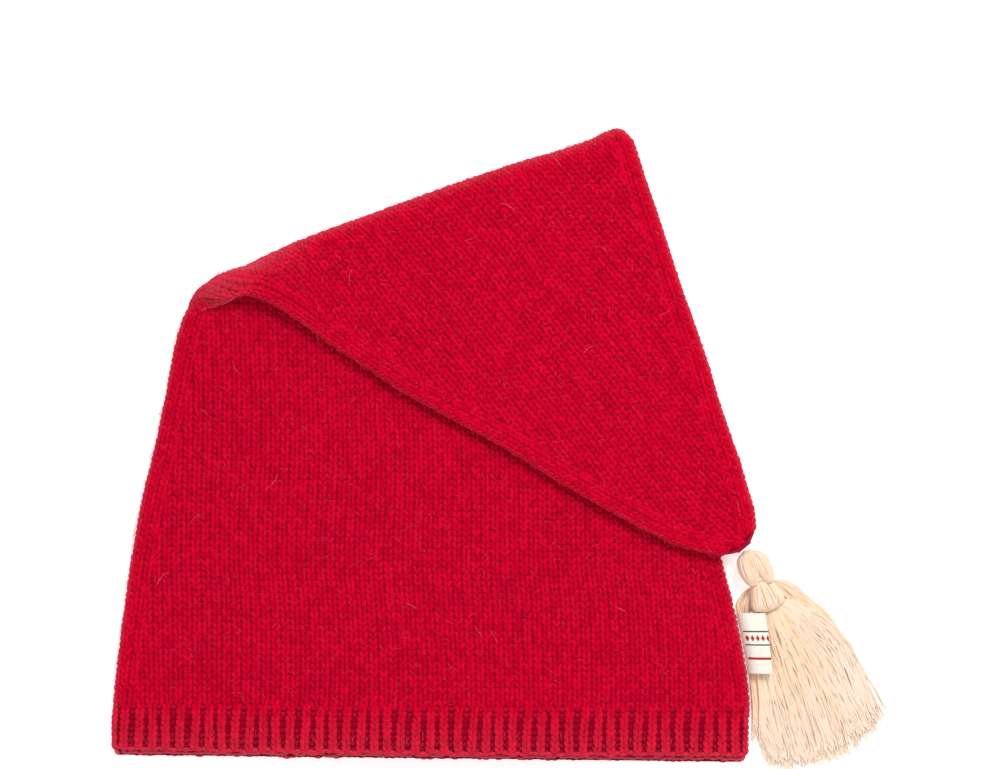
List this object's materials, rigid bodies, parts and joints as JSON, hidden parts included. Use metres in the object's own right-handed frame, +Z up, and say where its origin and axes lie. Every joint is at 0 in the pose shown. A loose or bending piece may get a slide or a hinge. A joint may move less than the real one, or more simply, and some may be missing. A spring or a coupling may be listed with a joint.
{
  "type": "knitted stocking cap with tassel",
  "caption": "Child's knitted stocking cap lying flat, its long pointed top folded over the front, with a ribbed hem, a yarn tassel at the tip and a small sewn-in side label.",
  "frame": {"origin": "on the surface the cap lies on, under the middle of the whole part's outline", "axes": "+Z up from the surface; the hem runs along X on the -Y side, and the fold is on the +Y side"},
  "size_m": [0.2676, 0.2198, 0.0161],
  "materials": {
    "red_knit": "matt brushed wool knit",
    "tassel_yarn": "matt soft yarn",
    "binding_thread": "matt yarn",
    "label_tape": "fine woven tape"
  },
  "bodies": {
    "root": {"front_panel": "red_knit", "back_panel": "red_knit", "tassel": "tassel_yarn", "upper_binding": "binding_thread", "lower_binding": "binding_thread", "side_label": "label_tape"}
  },
  "joints": []
}
